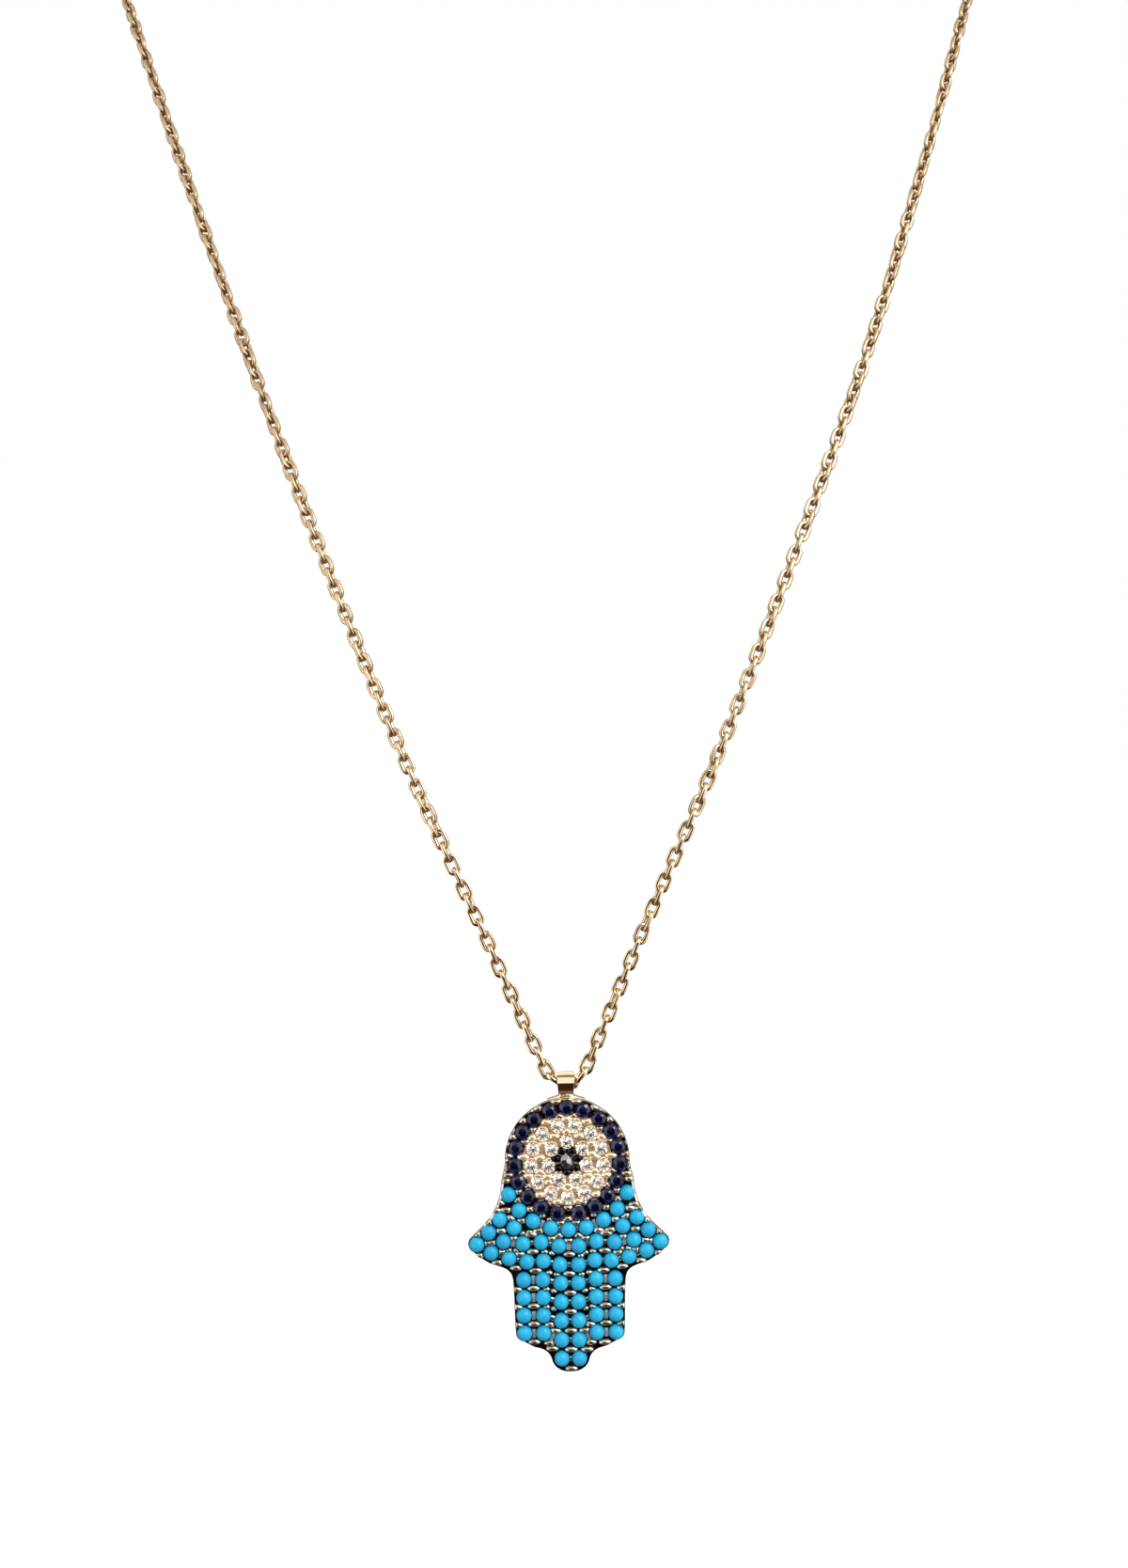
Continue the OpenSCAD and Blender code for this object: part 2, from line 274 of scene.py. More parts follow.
def make_camera():
    data = bpy.data.cameras.new("camera")
    data.sensor_fit = "VERTICAL"
    data.sensor_height = SENSOR_MM
    data.sensor_width = SENSOR_MM
    data.lens = SENSOR_MM * FOCAL_PIXELS / PHOTO_HEIGHT
    data.clip_start = 0.001
    data.clip_end = 10
    camera = bpy.data.objects.new("camera", data)
    bpy.context.scene.collection.objects.link(camera)
    bpy.context.scene.camera = camera
    right = Vector((math.cos(CAMERA_ROLL), 0, -math.sin(CAMERA_ROLL)))
    up = Vector((math.sin(CAMERA_ROLL), 0, math.cos(CAMERA_ROLL)))
    back = Vector((0, -1, 0))
    camera.matrix_world = Matrix((
        (right.x, up.x, back.x, CAMERA_AT.x),
        (right.y, up.y, back.y, CAMERA_AT.y),
        (right.z, up.z, back.z, CAMERA_AT.z),
        (0, 0, 0, 1),
    ))


class Nodes:
    """Short calls for a node tree."""

    def __init__(self, tree):
        self.tree = tree

    def add(self, kind, settings=None, **inputs):
        node = self.tree.nodes.new(kind)
        for key, value in (settings or {}).items():
            setattr(node, key, value)
        for key, value in inputs.items():
            self.put(node.inputs[key.replace("_", " ")], value)
        return node

    def put(self, socket, value):
        if isinstance(value, bpy.types.NodeSocket):
            self.tree.links.new(value, socket)
        else:
            socket.default_value = value

    def math(self, operation, a, b=0.0):
        node = self.tree.nodes.new("ShaderNodeMath")
        node.operation = operation
        self.put(node.inputs[0], a)
        self.put(node.inputs[1], b)
        return node.outputs[0]

    def ramp(self, value, low, high, to_low=0.0, to_high=1.0):
        """A smooth step of value from low to high."""
        node = self.tree.nodes.new("ShaderNodeMapRange")
        node.interpolation_type = "SMOOTHSTEP"
        for index, number in enumerate((value, low, high, to_low, to_high)):
            self.put(node.inputs[index], number)
        return node.outputs[0]

    def mix(self, factor, a, b):
        node = self.tree.nodes.new("ShaderNodeMix")
        node.data_type = "RGBA"
        self.put(node.inputs[0], factor)
        self.put(node.inputs[6], a)
        self.put(node.inputs[7], b)
        return node.outputs[2]


def make_world():
    """White to the camera. Reflections see a studio: a narrow dark gap in front, a bright strip at either
    side, a bright top with a dimmer warm patch overhead, a warm back, and a dark warm ground."""
    world = bpy.data.worlds.new("studio")
    bpy.context.scene.world = world
    world.use_nodes = True
    tree = world.node_tree
    tree.nodes.clear()
    n = Nodes(tree)
    direction = n.add("ShaderNodeTexCoord").outputs["Generated"]
    split = n.add("ShaderNodeSeparateXYZ", Vector=direction)
    x, y, z = split.outputs
    aside = n.math("ABSOLUTE", x)
    front = n.ramp(y, *FRONT_FROM)
    shade = n.mix(front, BACK_LIGHT, FRONT_LIGHT)
    shade = n.mix(n.ramp(z, *TOP_FROM), shade, TOP_LIGHT)
    shade = n.mix(n.ramp(z, *GROUND_FROM), shade, GROUND_LIGHT)
    strips = n.math("MULTIPLY", n.ramp(aside, *STRIP_FROM), n.ramp(aside, *STRIP_TO))
    strips = n.math("MULTIPLY", strips, n.ramp(z, *STRIP_FOOT))
    shade = n.mix(n.math("MULTIPLY", strips, front), shade, STRIP_LIGHT)
    gap = n.math("MULTIPLY", n.ramp(aside, *GAP_SIDES), n.ramp(z, *GAP_TOP))
    gap = n.math("MULTIPLY", gap, n.ramp(z, *GAP_FOOT))
    shade = n.mix(n.math("MULTIPLY", gap, front), shade, GAP_LIGHT)
    shade = n.mix(n.ramp(z, *ZENITH_FROM), shade, ZENITH_LIGHT)
    light_path = n.add("ShaderNodeLightPath")
    fill = n.math("MULTIPLY", light_path.outputs["Is Diffuse Ray"], FILL_SHARE)
    shade = n.mix(fill, shade, FILL_LIGHT)
    around = n.add("ShaderNodeBackground", Color=shade, Strength=1.0)
    white = n.add("ShaderNodeBackground", Color=(1, 1, 1, 1), Strength=1.0)
    blend = n.add("ShaderNodeMixShader")
    n.put(blend.inputs[0], light_path.outputs["Is Camera Ray"])
    n.put(blend.inputs[1], around.outputs[0])
    n.put(blend.inputs[2], white.outputs[0])
    out = n.add("ShaderNodeOutputWorld")
    tree.links.new(blend.outputs[0], out.inputs["Surface"])


def make_floor(lowest):
    """A pale floor, which reflections and soft light pass by."""
    half = FLOOR_HALF
    level = lowest - FLOOR_DROP
    mesh = bpy.data.meshes.new("floor")
    corners = [(-half, -half, level), (half, -half, level), (half, half, level), (-half, half, level)]
    mesh.from_pydata(corners, [], [(0, 1, 2, 3)])
    floor = bpy.data.objects.new("floor", mesh)
    bpy.context.scene.collection.objects.link(floor)
    material = bpy.data.materials.new("floor")
    material.use_nodes = True
    shader = material.node_tree.nodes["Principled BSDF"]
    shader.inputs["Base Color"].default_value = FLOOR_TONE
    shader.inputs["Roughness"].default_value = FLOOR_ROUGHNESS
    shader.inputs["Emission Color"].default_value = (1, 1, 1, 1)
    shader.inputs["Emission Strength"].default_value = FLOOR_GLOW
    mesh.materials.append(material)
    floor.visible_glossy = False
    floor.visible_diffuse = False


def make_key_light(aim):
    """A soft square light in front, above and to the right."""
    light = bpy.data.lights.new("key light", "AREA")
    light.shape = "SQUARE"
    light.size = KEY_SIZE
    light.energy = KEY_WATTS
    lamp = bpy.data.objects.new("key light", light)
    bpy.context.scene.collection.objects.link(lamp)
    lamp.location = KEY_AT
    lamp.rotation_mode = "QUATERNION"
    lamp.rotation_quaternion = (aim - Vector(KEY_AT)).to_track_quat("-Z", "Y")


def principled(name, **values):
    """A material with one Principled shader, and the short calls to build on it."""
    material = bpy.data.materials.new(name)
    material.use_nodes = True
    n = Nodes(material.node_tree)
    shader = material.node_tree.nodes["Principled BSDF"]
    for key, value in values.items():
        n.put(shader.inputs[key.replace("_", " ")], value)
    place = n.add("ShaderNodeTexCoord").outputs["Object"]
    return material, n, shader, place


def noise(n, place, per_mm, detail=3.0, roughness=0.55):
    scale = per_mm / MM
    node = n.add("ShaderNodeTexNoise", Vector=place, Scale=scale, Detail=detail, Roughness=roughness)
    return node.outputs["Fac"]


def marks(n, shader, height, strength):
    """Fine relief by a height, on a shader."""
    bump = n.add("ShaderNodeBump", Height=height, Strength=strength, Distance=MARK_DEPTH)
    n.put(shader.inputs["Normal"], bump.outputs[0])


def metal(name, light, deep, smooth, rough, scratch=0.03, bare=1.0):
    """Polished metal: its colour wanders between two tones, its gloss in patches, with faint polishing
    marks. bare is the share without lacquer or wear."""
    material, n, shader, place = principled(name, Metallic=bare)
    tone = n.ramp(noise(n, place, TONE_SCALE), 0.35, 0.65)
    n.put(shader.inputs["Base Color"], n.mix(tone, light + (1,), deep + (1,)))
    patch = noise(n, place, PATCH_SCALE, detail=4.0)
    n.put(shader.inputs["Roughness"], n.ramp(patch, 0.3, 0.7, smooth, rough))
    marks(n, shader, noise(n, place, MARK_SCALE, detail=2.0), scratch)
    return material


def make_gold():
    """Gold of the plate's back and wall."""
    return metal("polished gold", (0.93, 0.74, 0.42), (0.9, 0.66, 0.33), 0.09, 0.2)


def make_eye_gold():
    """Pale gold of the prongs in the eye."""
    return metal("eye gold", (1, 0.86, 0.6), (0.96, 0.75, 0.47), 0.14, 0.28, bare=0.75)


def make_shaded_eye_floor():
    """Deeper gold between the stones of the eye: the eye's gold darkened as a painted shade in the recesses.
    """
    return metal("shaded eye floor", (1, 0.76, 0.47), (0.68, 0.45, 0.24), 0.25, 0.4, bare=0.7)


def make_black_plating():
    """Black of the prongs round the pupil."""
    return metal("black plating", (0.012, 0.01, 0.012), (0.03, 0.02, 0.02), 0.1, 0.22)


def make_dark_plating():
    """Near black of the floor under the turquoise and navy stones."""
    return metal("dark plating", (0.02, 0.018, 0.017), (0.008, 0.008, 0.009), 0.3, 0.5)


def make_pale_tips():
    """Prongs worn down to pale metal."""
    return metal("worn prong tips", (0.62, 0.56, 0.47), (0.4, 0.33, 0.25), 0.2, 0.34)


def make_dull_metal():
    """Grey of the wider walls between stones."""
    return metal("dull walls", (0.42, 0.44, 0.45), (0.3, 0.31, 0.32), 0.35, 0.5, bare=0.6)


def make_rim_plating():
    """Grey plating of the rim."""
    return metal("rim plating", (0.34, 0.31, 0.29), (0.26, 0.24, 0.22), 0.12, 0.25)


def make_flank_highlight():
    """The rim painted pale down the flanks: a painted highlight where its edge catches the light."""
    return metal("painted flank highlight", (0.92, 0.83, 0.78), (0.82, 0.72, 0.66), 0.4, 0.55)


def make_bail_gold():
    """Mirror-bright gold of the bail and its solder."""
    return metal("bail gold", (0.95, 0.83, 0.63), (0.93, 0.79, 0.57), 0.03, 0.07, scratch=0.006)


def make_chain_gold():
    """Gold of the chain: bright near the pendant, and the farther from it, the duller and deeper in tone:
    rougher, and darkened in colour as a painted shade.
    """
    material, n, shader, place = principled("chain gold", Metallic=1.0)
    far = n.add("ShaderNodeAttribute", {"attribute_name": "tone"}).outputs["Fac"]
    tone = n.ramp(noise(n, place, TONE_SCALE), 0.35, 0.65)
    near_gold = n.mix(tone, (0.76, 0.62, 0.42, 1), (0.52, 0.39, 0.24, 1))
    # The farther gold's darker colour is a painted shade.
    shaded_far_gold = n.mix(tone, (0.485, 0.35, 0.215, 1), (0.415, 0.295, 0.172, 1))
    n.put(shader.inputs["Base Color"], n.mix(far, near_gold, shaded_far_gold))
    patch = n.ramp(noise(n, place, PATCH_SCALE, detail=4.0), 0.3, 0.7, 0.0, 0.1)
    n.put(shader.inputs["Roughness"], n.math("ADD", patch, n.ramp(far, 0.0, 1.0, 0.09, 0.34)))
    marks(n, shader, noise(n, place, MARK_SCALE, detail=2.0), 0.01)
    return material


def make_turquoise():
    """Sky blue stone, satin, paler in clouds, with fine darker specks. Each stone has its own tone."""
    material, n, shader, place = principled("turquoise")
    clouds = n.ramp(noise(n, place, 1.6), 0.35, 0.7)
    blue = n.mix(clouds, (0.007, 0.34, 0.57, 1), (0.02, 0.4, 0.65, 1))
    own = n.add("ShaderNodeAttribute", {"attribute_name": "tone"}).outputs["Fac"]
    blue = n.mix(own, blue, (0.01, 0.31, 0.55, 1))
    specks = n.ramp(noise(n, place, 9.0, detail=5.0, roughness=0.7), 0.56, 0.72)
    blue = n.mix(n.math("MULTIPLY", specks, 0.35), blue, (0.008, 0.22, 0.45, 1))
    n.put(shader.inputs["Base Color"], blue)
    n.put(shader.inputs["Roughness"], n.ramp(specks, 0.0, 1.0, 0.42, 0.6))
    shader.inputs["Specular IOR Level"].default_value = 0.3
    marks(n, shader, specks, 0.1)
    return material


def clear_cut_stone(name, tint, other, ior, gloss):
    """Clear cut stone, whose tint differs from stone to stone."""
    material, n, shader, place = principled(name, Roughness=0.0)
    own = n.add("ShaderNodeAttribute", {"attribute_name": "tone"}).outputs["Fac"]
    n.put(shader.inputs["Base Color"], n.mix(own, tint + (1,), other + (1,)))
    shader.inputs["Transmission Weight"].default_value = 1.0
    shader.inputs["IOR"].default_value = ior
    shader.inputs["Specular Tint"].default_value = gloss + (1,)
    return material


def make_navy_stone():
    """Navy so deep that only its gloss and some facets show."""
    return clear_cut_stone("navy stone", (0.006, 0.008, 0.065), (0.003, 0.004, 0.035), 1.55, (0.78, 0.8, 1))


def make_clear_stone():
    """Nearly colourless, with a warm tint in its own colour: a painted reflection of the gold round it."""
    return clear_cut_stone("clear stone", (0.92, 0.87, 0.79), (0.84, 0.77, 0.72), 1.7, (1, 1, 1))


def make_black_stone():
    """Blue-black and very glossy, for the pupil."""
    material, *_ = principled("pupil stone", Base_Color=(0.012, 0.014, 0.024, 1), Roughness=0.03, IOR=3.6)
    return material


def angles(count, turn=0.0):
    """Equal steps round a circle."""
    return [math.tau * (i + turn) / count for i in range(count)]


def level_ring(r, z, count, turn=0.0):
    """Points of a level ring about the z axis."""
    return [(r * math.cos(a), r * math.sin(a), z) for a in angles(count, turn)]


def circle(x, y, r, count):
    return [Vector((x + r * math.cos(a), y + r * math.sin(a))) for a in angles(count)]


class Shell:
    """Vertices and faces gathered part by part, each part in its own paint and with its own tone."""

    def __init__(self):
        self.verts = []
        self.faces = []
        self.paints = []
        self.tones = []

    def add(self, verts, faces, paint=0, tone=0.0):
        start = len(self.verts)
        self.verts += [Vector(v) for v in verts]
        self.tones += [tone] * len(verts)
        self.faces += [[start + i for i in face] for face in faces]
        self.paints += [paint] * len(faces)

    def skin(self, rings, paint=0, tone=0.0, caps=(True, True), looped=False):
        """Joins closed rings of equal counts, one after another. looped joins the last to the first."""
        count = len(rings[0])
        verts = [v for ring in rings for v in ring]
        faces = []
        pairs = len(rings) if looped else len(rings) - 1
        for i in range(pairs):
            a, b = i * count, (i + 1) % len(rings) * count
            for k in range(count):
                m = (k + 1) % count
                faces.append((a + k, a + m, b + m, b + k))
        if not looped and caps[0]:
            faces.append(tuple(range(count - 1, -1, -1)))
        if not looped and caps[1]:
            faces.append(tuple((len(rings) - 1) * count + k for k in range(count)))
        self.add(verts, faces, paint, tone)

    def become(self, name, materials, matrix, body, node, slot, sharp=math.radians(40)):
        mesh = bpy.data.meshes.new(name)
        mesh.from_pydata([matrix @ v for v in self.verts], [], self.faces)
        mesh.polygons.foreach_set("material_index", self.paints)
        tones = mesh.attributes.new("tone", "FLOAT", "POINT")
        tones.data.foreach_set("value", self.tones)
        for material in materials:
            mesh.materials.append(material)
        mesh.validate()
        tidy = bmesh.new()
        tidy.from_mesh(mesh)
        bmesh.ops.recalc_face_normals(tidy, faces=tidy.faces)
        tidy.to_mesh(mesh)
        tidy.free()
        if sharp:
            mesh.shade_smooth()
            mesh.set_sharp_from_angle(angle=sharp)
        else:
            mesh.shade_flat()
        piece = bpy.data.objects.new(name, mesh)
        bpy.context.scene.collection.objects.link(piece)
        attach(piece, body)
        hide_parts(node)
        return piece


def merged(node):
    """The node's mesh with its split vertices joined again."""
    shape = bmesh.new()
    shape.from_mesh(frame["nodes"][node].data)
    bmesh.ops.remove_doubles(shape, verts=shape.verts, dist=1e-7)
    return shape


def islands(faces):
    """Groups of faces that share edges."""
    left = set(faces)
    found = []
    while left:
        stack = [left.pop()]
        group = []
        while stack:
            face = stack.pop()
            group.append(face)
            for edge in face.edges:
                for other in edge.link_faces:
                    if other in left:
                        left.remove(other)
                        stack.append(other)
        found.append(group)
    return found


def spans(groups):
    """Middle and half width of each group of faces, in the flat frame."""
    found = []
    for group in groups:
        points = [to_flat @ v.co for face in group for v in face.verts]
        xs = [p.x for p in points]
        ys = [p.y for p in points]
        middle = ((min(xs) + max(xs)) / 2, (min(ys) + max(ys)) / 2)
        found.append((middle[0], middle[1], (max(xs) - min(xs)) / 2))
    return sorted(found)


def stones_of(node):
    shape = merged(node)
    found = spans(islands(shape.faces))
    shape.free()
    return found


def faces_at(shape, level):
    """Faces of a merged node that lie flat at one distance out of the plate's front."""
    return [f for f in shape.faces if all(abs((to_flat @ v.co).z - level) < LEVEL_PLAY for v in f.verts)]


def outline_of(shape):
    """The longest loop round the plate's back face, counter-clockwise, in the flat frame. It always starts at
    the same point, so that each run gives the same prongs."""
    flat = faces_at(shape, -PLATE_T)
    inside = set(flat)
    near = {}
    for face in flat:
        for edge in face.edges:
            if sum(1 for f in edge.link_faces if f in inside) == 1:
                a, b = edge.verts
                near.setdefault(a, []).append(b)
                near.setdefault(b, []).append(a)
    loops = []
    left = dict.fromkeys(near)
    while left:
        loop = [next(iter(left))]
        del left[loop[0]]
        while True:
            following = [v for v in near[loop[-1]] if v in left]
            if not following:
                break
            loop.append(following[0])
            del left[following[0]]
        loops.append(loop)
    longest = max(loops, key=len)
    points = [(to_flat @ v.co).to_2d() for v in longest]
    area = sum(a.x * b.y - b.x * a.y for a, b in zip(points, points[1:] + points[:1]))
    return points if area > 0 else points[::-1]


def inset(points, depths):
    """A closed outline moved inwards, by one depth for each point, counter-clockwise."""
    found = []
    count = len(points)
    for i, p in enumerate(points):
        before = (p - points[i - 1]).normalized()
        after = (points[(i + 1) % count] - p).normalized()
        along = (before + after).normalized()
        inwards = Vector((-along.y, along.x))
        stretch = max(0.5, abs(along.dot(after)))
        found.append(p + inwards * depths[i] / stretch)
    return found


def slab(loops, low, high, edge):
    """A flat plate between two levels, with softened edges, from its outline and the loops of its holes."""
    data = bpy.data.curves.new("slab", "CURVE")
    data.dimensions = "2D"
    data.fill_mode = "BOTH"
    data.extrude = (high - low) / 2 - edge
    data.bevel_depth = edge
    data.bevel_resolution = 1
    data.offset = -edge
    for loop in loops:
        spline = data.splines.new("POLY")
        spline.points.add(len(loop) - 1)
        spline.use_cyclic_u = True
        for point, p in zip(spline.points, loop):
            point.co = (p.x, p.y, 0, 1)
    holder = bpy.data.objects.new("slab", data)
    bpy.context.scene.collection.objects.link(holder)
    view = bpy.context.evaluated_depsgraph_get()
    mesh = bpy.data.meshes.new_from_object(holder.evaluated_get(view))
    middle = (low + high) / 2
    verts = [v.co + Vector((0, 0, middle)) for v in mesh.vertices]
    faces = [tuple(p.vertices) for p in mesh.polygons]
    bpy.data.objects.remove(holder)
    bpy.data.curves.remove(data)
    bpy.data.meshes.remove(mesh)
    return verts, faces


def apart(x, y, among):
    """How far a spot lies from the nearest of some stones."""
    return min(math.hypot(x - s[0], y - s[1]) - s[2] for s in among)


def edges_near(x, y):
    """The stretches of the outline near a spot."""
    found = []
    for a, b in zip(outline, outline[1:] + outline[:1]):
        if math.hypot(a.x - x, a.y - y) < NEARBY:
            found.append((a, b))
    return found


def inside_by(x, y, edges):
    """How far a spot lies inside these stretches of the outline, negative outside."""
    best = 9.0
    for a, b in edges:
        ex, ey = b.x - a.x, b.y - a.y
        share = ((x - a.x) * ex + (y - a.y) * ey) / max(1e-9, ex * ex + ey * ey)
        share = max(0.0, min(1.0, share))
        away = math.hypot(x - a.x - share * ex, y - a.y - share * ey)
        if away < abs(best):
            best = away if ex * (y - a.y) - ey * (x - a.x) > 0 else -away
    return best


def rim_widths():
    """The rim's width at each point of the outline: wide down the flanks, and narrow elsewhere."""
    low, high = FLANK_SPAN
    widths = [RIM_FLANK_W if low < p.y < high else RIM_W for p in outline]
    count = len(widths)
    for _ in range(RIM_SMOOTHINGS):
        widths = [(widths[i - 1] + widths[i] + widths[(i + 1) % count]) / 3 for i in range(count)]
    return widths


def light_hole_r(x, y):
    """A light hole's radius: smaller where the tapered back comes close."""
    room = inside_by(x, y, edges_near(x, y)) - BACK_TAPER - LIGHT_HOLE_SPARE
    return min(LIGHT_HOLE_R, room)


def eye_r():
    """Radius of the eye's gold floor, just outside its clear stones."""
    return max(math.hypot(x, y) + r for x, y, r in clear) + EYE_DISC_PLAY


def add_layers(shell, back_paint, front_paint, eye_paint):
    """The pierced back, the front floor with its seats, and the floor of the eye with its own."""
    holes = [circle(x, y, light_hole_r(x, y), LIGHT_HOLE_SIDES) for x, y, r in stones]
    back = inset(outline, [BACK_TAPER] * len(outline))
    shell.add(*slab([back] + holes, -PLATE_T, LAYER_SPLIT + LAYER_OVERLAP, BACK_EDGE), back_paint)
    eye = circle(0, 0, eye_r(), EYE_SIDES)
    seats = [circle(x, y, r + SEAT_PLAY, SEAT_SIDES) for x, y, r in turquoise + navy]
    front = inset(outline, [FRONT_INSET] * len(outline))
    shell.add(*slab([front] + seats + [eye], LAYER_SPLIT, FRONT_FLOOR, SEAT_EDGE), front_paint)
    eye_seats = [circle(x, y, r + SEAT_PLAY, SEAT_SIDES) for x, y, r in clear + pupil]
    # The eye's floor is in the deeper gold, a painted shade between its stones.
    shell.add(*slab([eye] + eye_seats, LAYER_SPLIT, EYE_FLOOR, SEAT_EDGE), eye_paint)


def add_edge(shell, wall_paint, rim_paint, flank_highlight_paint):
    """The wall round the plate and the softened rim above it, which is in its own paler paint down the
    flanks, a painted highlight.
    """
    count = len(outline)
    rings = []
    for depth, z in WALL_PROFILE:
        rings.append([(p.x, p.y, z) for p in inset(outline, [depth] * count)])
    widths = rim_widths()
    for share, z in RIM_PROFILE:
        moved = inset(outline, [share * w for w in widths])
        rings.append([(p.x, p.y, z) for p in moved])
    wall = len(shell.faces)
    rim = wall + (len(WALL_PROFILE) - 1) * count
    shell.skin(rings, rim_paint, caps=(False, False))
    # Down the flanks the rim takes the paler paint, a painted highlight.
    low, high = FLANK_SPAN
    for i in range(wall, len(shell.faces)):
        if i < rim:
            shell.paints[i] = wall_paint
        elif low < shell.verts[shell.faces[i][0]].y < high:
            shell.paints[i] = flank_highlight_paint


def make_plate():
    """The hand-shaped plate. Paints: gold, dark plating, rim plating, the rim's paler flanks as a painted
    highlight, and the eye's floor in deeper gold as a painted shade.
    """
    shell = Shell()
    gold, dark, rim, flank, eye_floor = range(5)
    add_layers(shell, gold, dark, eye_floor)
    add_edge(shell, gold, rim, flank)
    return shell


def around_spot(x, y):
    """What bounds a prong there: the nearest stones and the stretches of the outline near it."""
    near = sorted(stones, key=lambda s: math.hypot(x - s[0], y - s[1]) - s[2])[:NEIGHBOURS]
    return near, edges_near(x, y)


def settled(x, y, limit):
    """A spot moved, by no more than limit, to the middle of the room between its stones and the rim.
    Each move is tried all round, twice."""
    near, edges = around_spot(x, y)

    def room(tx, ty):
        return min(apart(tx, ty, near), inside_by(tx, ty, edges) + RIM_LEAN)

    best = (room(x, y), x, y)
    for move in MOVES:
        for step in range(2 * MOVE_WAYS):
            a = math.tau * step / MOVE_WAYS
            tx, ty = best[1] + move * math.cos(a), best[2] + move * math.sin(a)
            if math.hypot(tx - x, ty - y) < limit:
                best = max(best, (room(tx, ty), tx, ty))
    return best


def keep_spot(kept, spot):
    """Adds a prong's spot where it has room and stands apart from the others."""
    room, x, y = spot
    if room > PRONG_ROOM and all(math.hypot(x - k[1], y - k[2]) > PRONG_APART for k in kept):
        kept.append(spot)


def prong_places():
    """The frame's prongs, then more wherever there is room: at the ends of the gaps between two stones, and
    along the rim."""
    kept = [settled(x, y, FRAME_PRONG_MOVE) for x, y, r in prongs]
    for i, a in enumerate(stones):
        for b in stones[i + 1:]:
            gap = Vector((b[0] - a[0], b[1] - a[1]))
            if gap.length > a[2] + b[2] + GAP_LIMIT:
                continue
            across = Vector((-gap.y, gap.x)).normalized()
            for away in (-GAP_END, GAP_END):
                x = (a[0] + b[0]) / 2 + across.x * away
                y = (a[1] + b[1]) / 2 + across.y * away
                keep_spot(kept, settled(x, y, GAP_PRONG_MOVE))
    for p in inset(outline, [RIM_PRONG_IN] * len(outline)):
        if p.y > RIM_PRONGS_ABOVE:
            keep_spot(kept, settled(p.x, p.y, RIM_PRONG_MOVE))
    return [(x, y) for _, x, y in kept]


def fitted(x, y, reach, clear_by):
    """A prong's radii: as far as its stones and the rim leave room, within an ellipse of that reach aside
    and up."""
    near, edges = around_spot(x, y)
    radii = []
    for a in angles(PRONG_SIDES):
        limit = 1 / math.hypot(math.cos(a) / reach[0], math.sin(a) / reach[1])
        r = REACH_FROM
        while r < limit:
            tx, ty = x + r * math.cos(a), y + r * math.sin(a)
            if apart(tx, ty, near) < clear_by or inside_by(tx, ty, edges) < RIM_CLEAR:
                break
            r += REACH_STEP
        radii.append(r)
    for _ in range(2):
        after = radii[1:] + radii[:1]
        radii = [(radii[i - 1] + 2 * radii[i] + after[i]) / 4 for i in range(PRONG_SIDES)]
    return radii


def add_bead(shell, x, y, radii, top, paint):
    """A rounded lump over an outline given by its radii."""
    turns = angles(len(radii))

    def layer(share, z):
        return [(x + share * r * math.cos(a), y + share * r * math.sin(a), z) for a, r in zip(turns, radii)]

    rings = [layer(1.0, PRONG_LOW)]
    for degrees in BEAD_SLOPES:
        slope = math.radians(degrees)
        rings.append(layer(math.cos(slope), BEAD_FOOT + (top - BEAD_FOOT) * math.sin(slope)))
    shell.skin(rings, paint)


def stagger(x, y):
    """Heights of the gaps between the two stones at the left and the two at the right. None without them."""
    found = []
    near, far = BESIDE
    for side in (-1, 1):
        beside = [s for s in stones if near < side * (s[0] - x) < far and abs(s[1] - y) < far]
        above = [s for s in beside if s[1] > y]
        under = [s for s in beside if s[1] <= y]
        if not above or not under:
            return None
        top = min(above, key=lambda s: s[1])
        foot = max(under, key=lambda s: s[1])
        found.append((top[1] + foot[1]) / 2)
    return found


def make_prongs():
    """Lens-shaped beads in the gaps: gold in the eye, black round the pupil, pale over the dark floor.
    Where the stones to the left and the right stand at different heights there are two short ones."""
    shell = Shell()
    gold, black, pale = range(3)
    eye_reach = eye_r()
    halves = []
    for x, y in prong_places():
        away = math.hypot(x, y)
        top = PRONG_TOP + random.uniform(*PRONG_TOP_PLAY)
        split = stagger(x, y)
        if away < PUPIL_ZONE:
            add_bead(shell, x, y, fitted(x, y, BLACK_REACH, BLACK_CLEAR), top + BLACK_RISE, black)
        elif away < eye_reach:
            add_bead(shell, x, y, fitted(x, y, GOLD_REACH, GOLD_CLEAR), top, gold)
        elif split and abs(split[0] - split[1]) > STAGGER_LEAST:
            for side, level in zip((-1, 1), split):
                sx = x + side * HALF_ASIDE
                sy = max(y - HALF_SHIFT, min(y + HALF_SHIFT, level))
                if all(math.hypot(sx - hx, sy - hy) > PRONG_APART for hx, hy in halves):
                    halves.append((sx, sy))
                    add_bead(shell, sx, sy, fitted(sx, sy, HALF_REACH, PALE_CLEAR), top, pale)
        else:
            add_bead(shell, x, y, fitted(x, y, PALE_REACH, PALE_CLEAR), top, pale)
    return shell


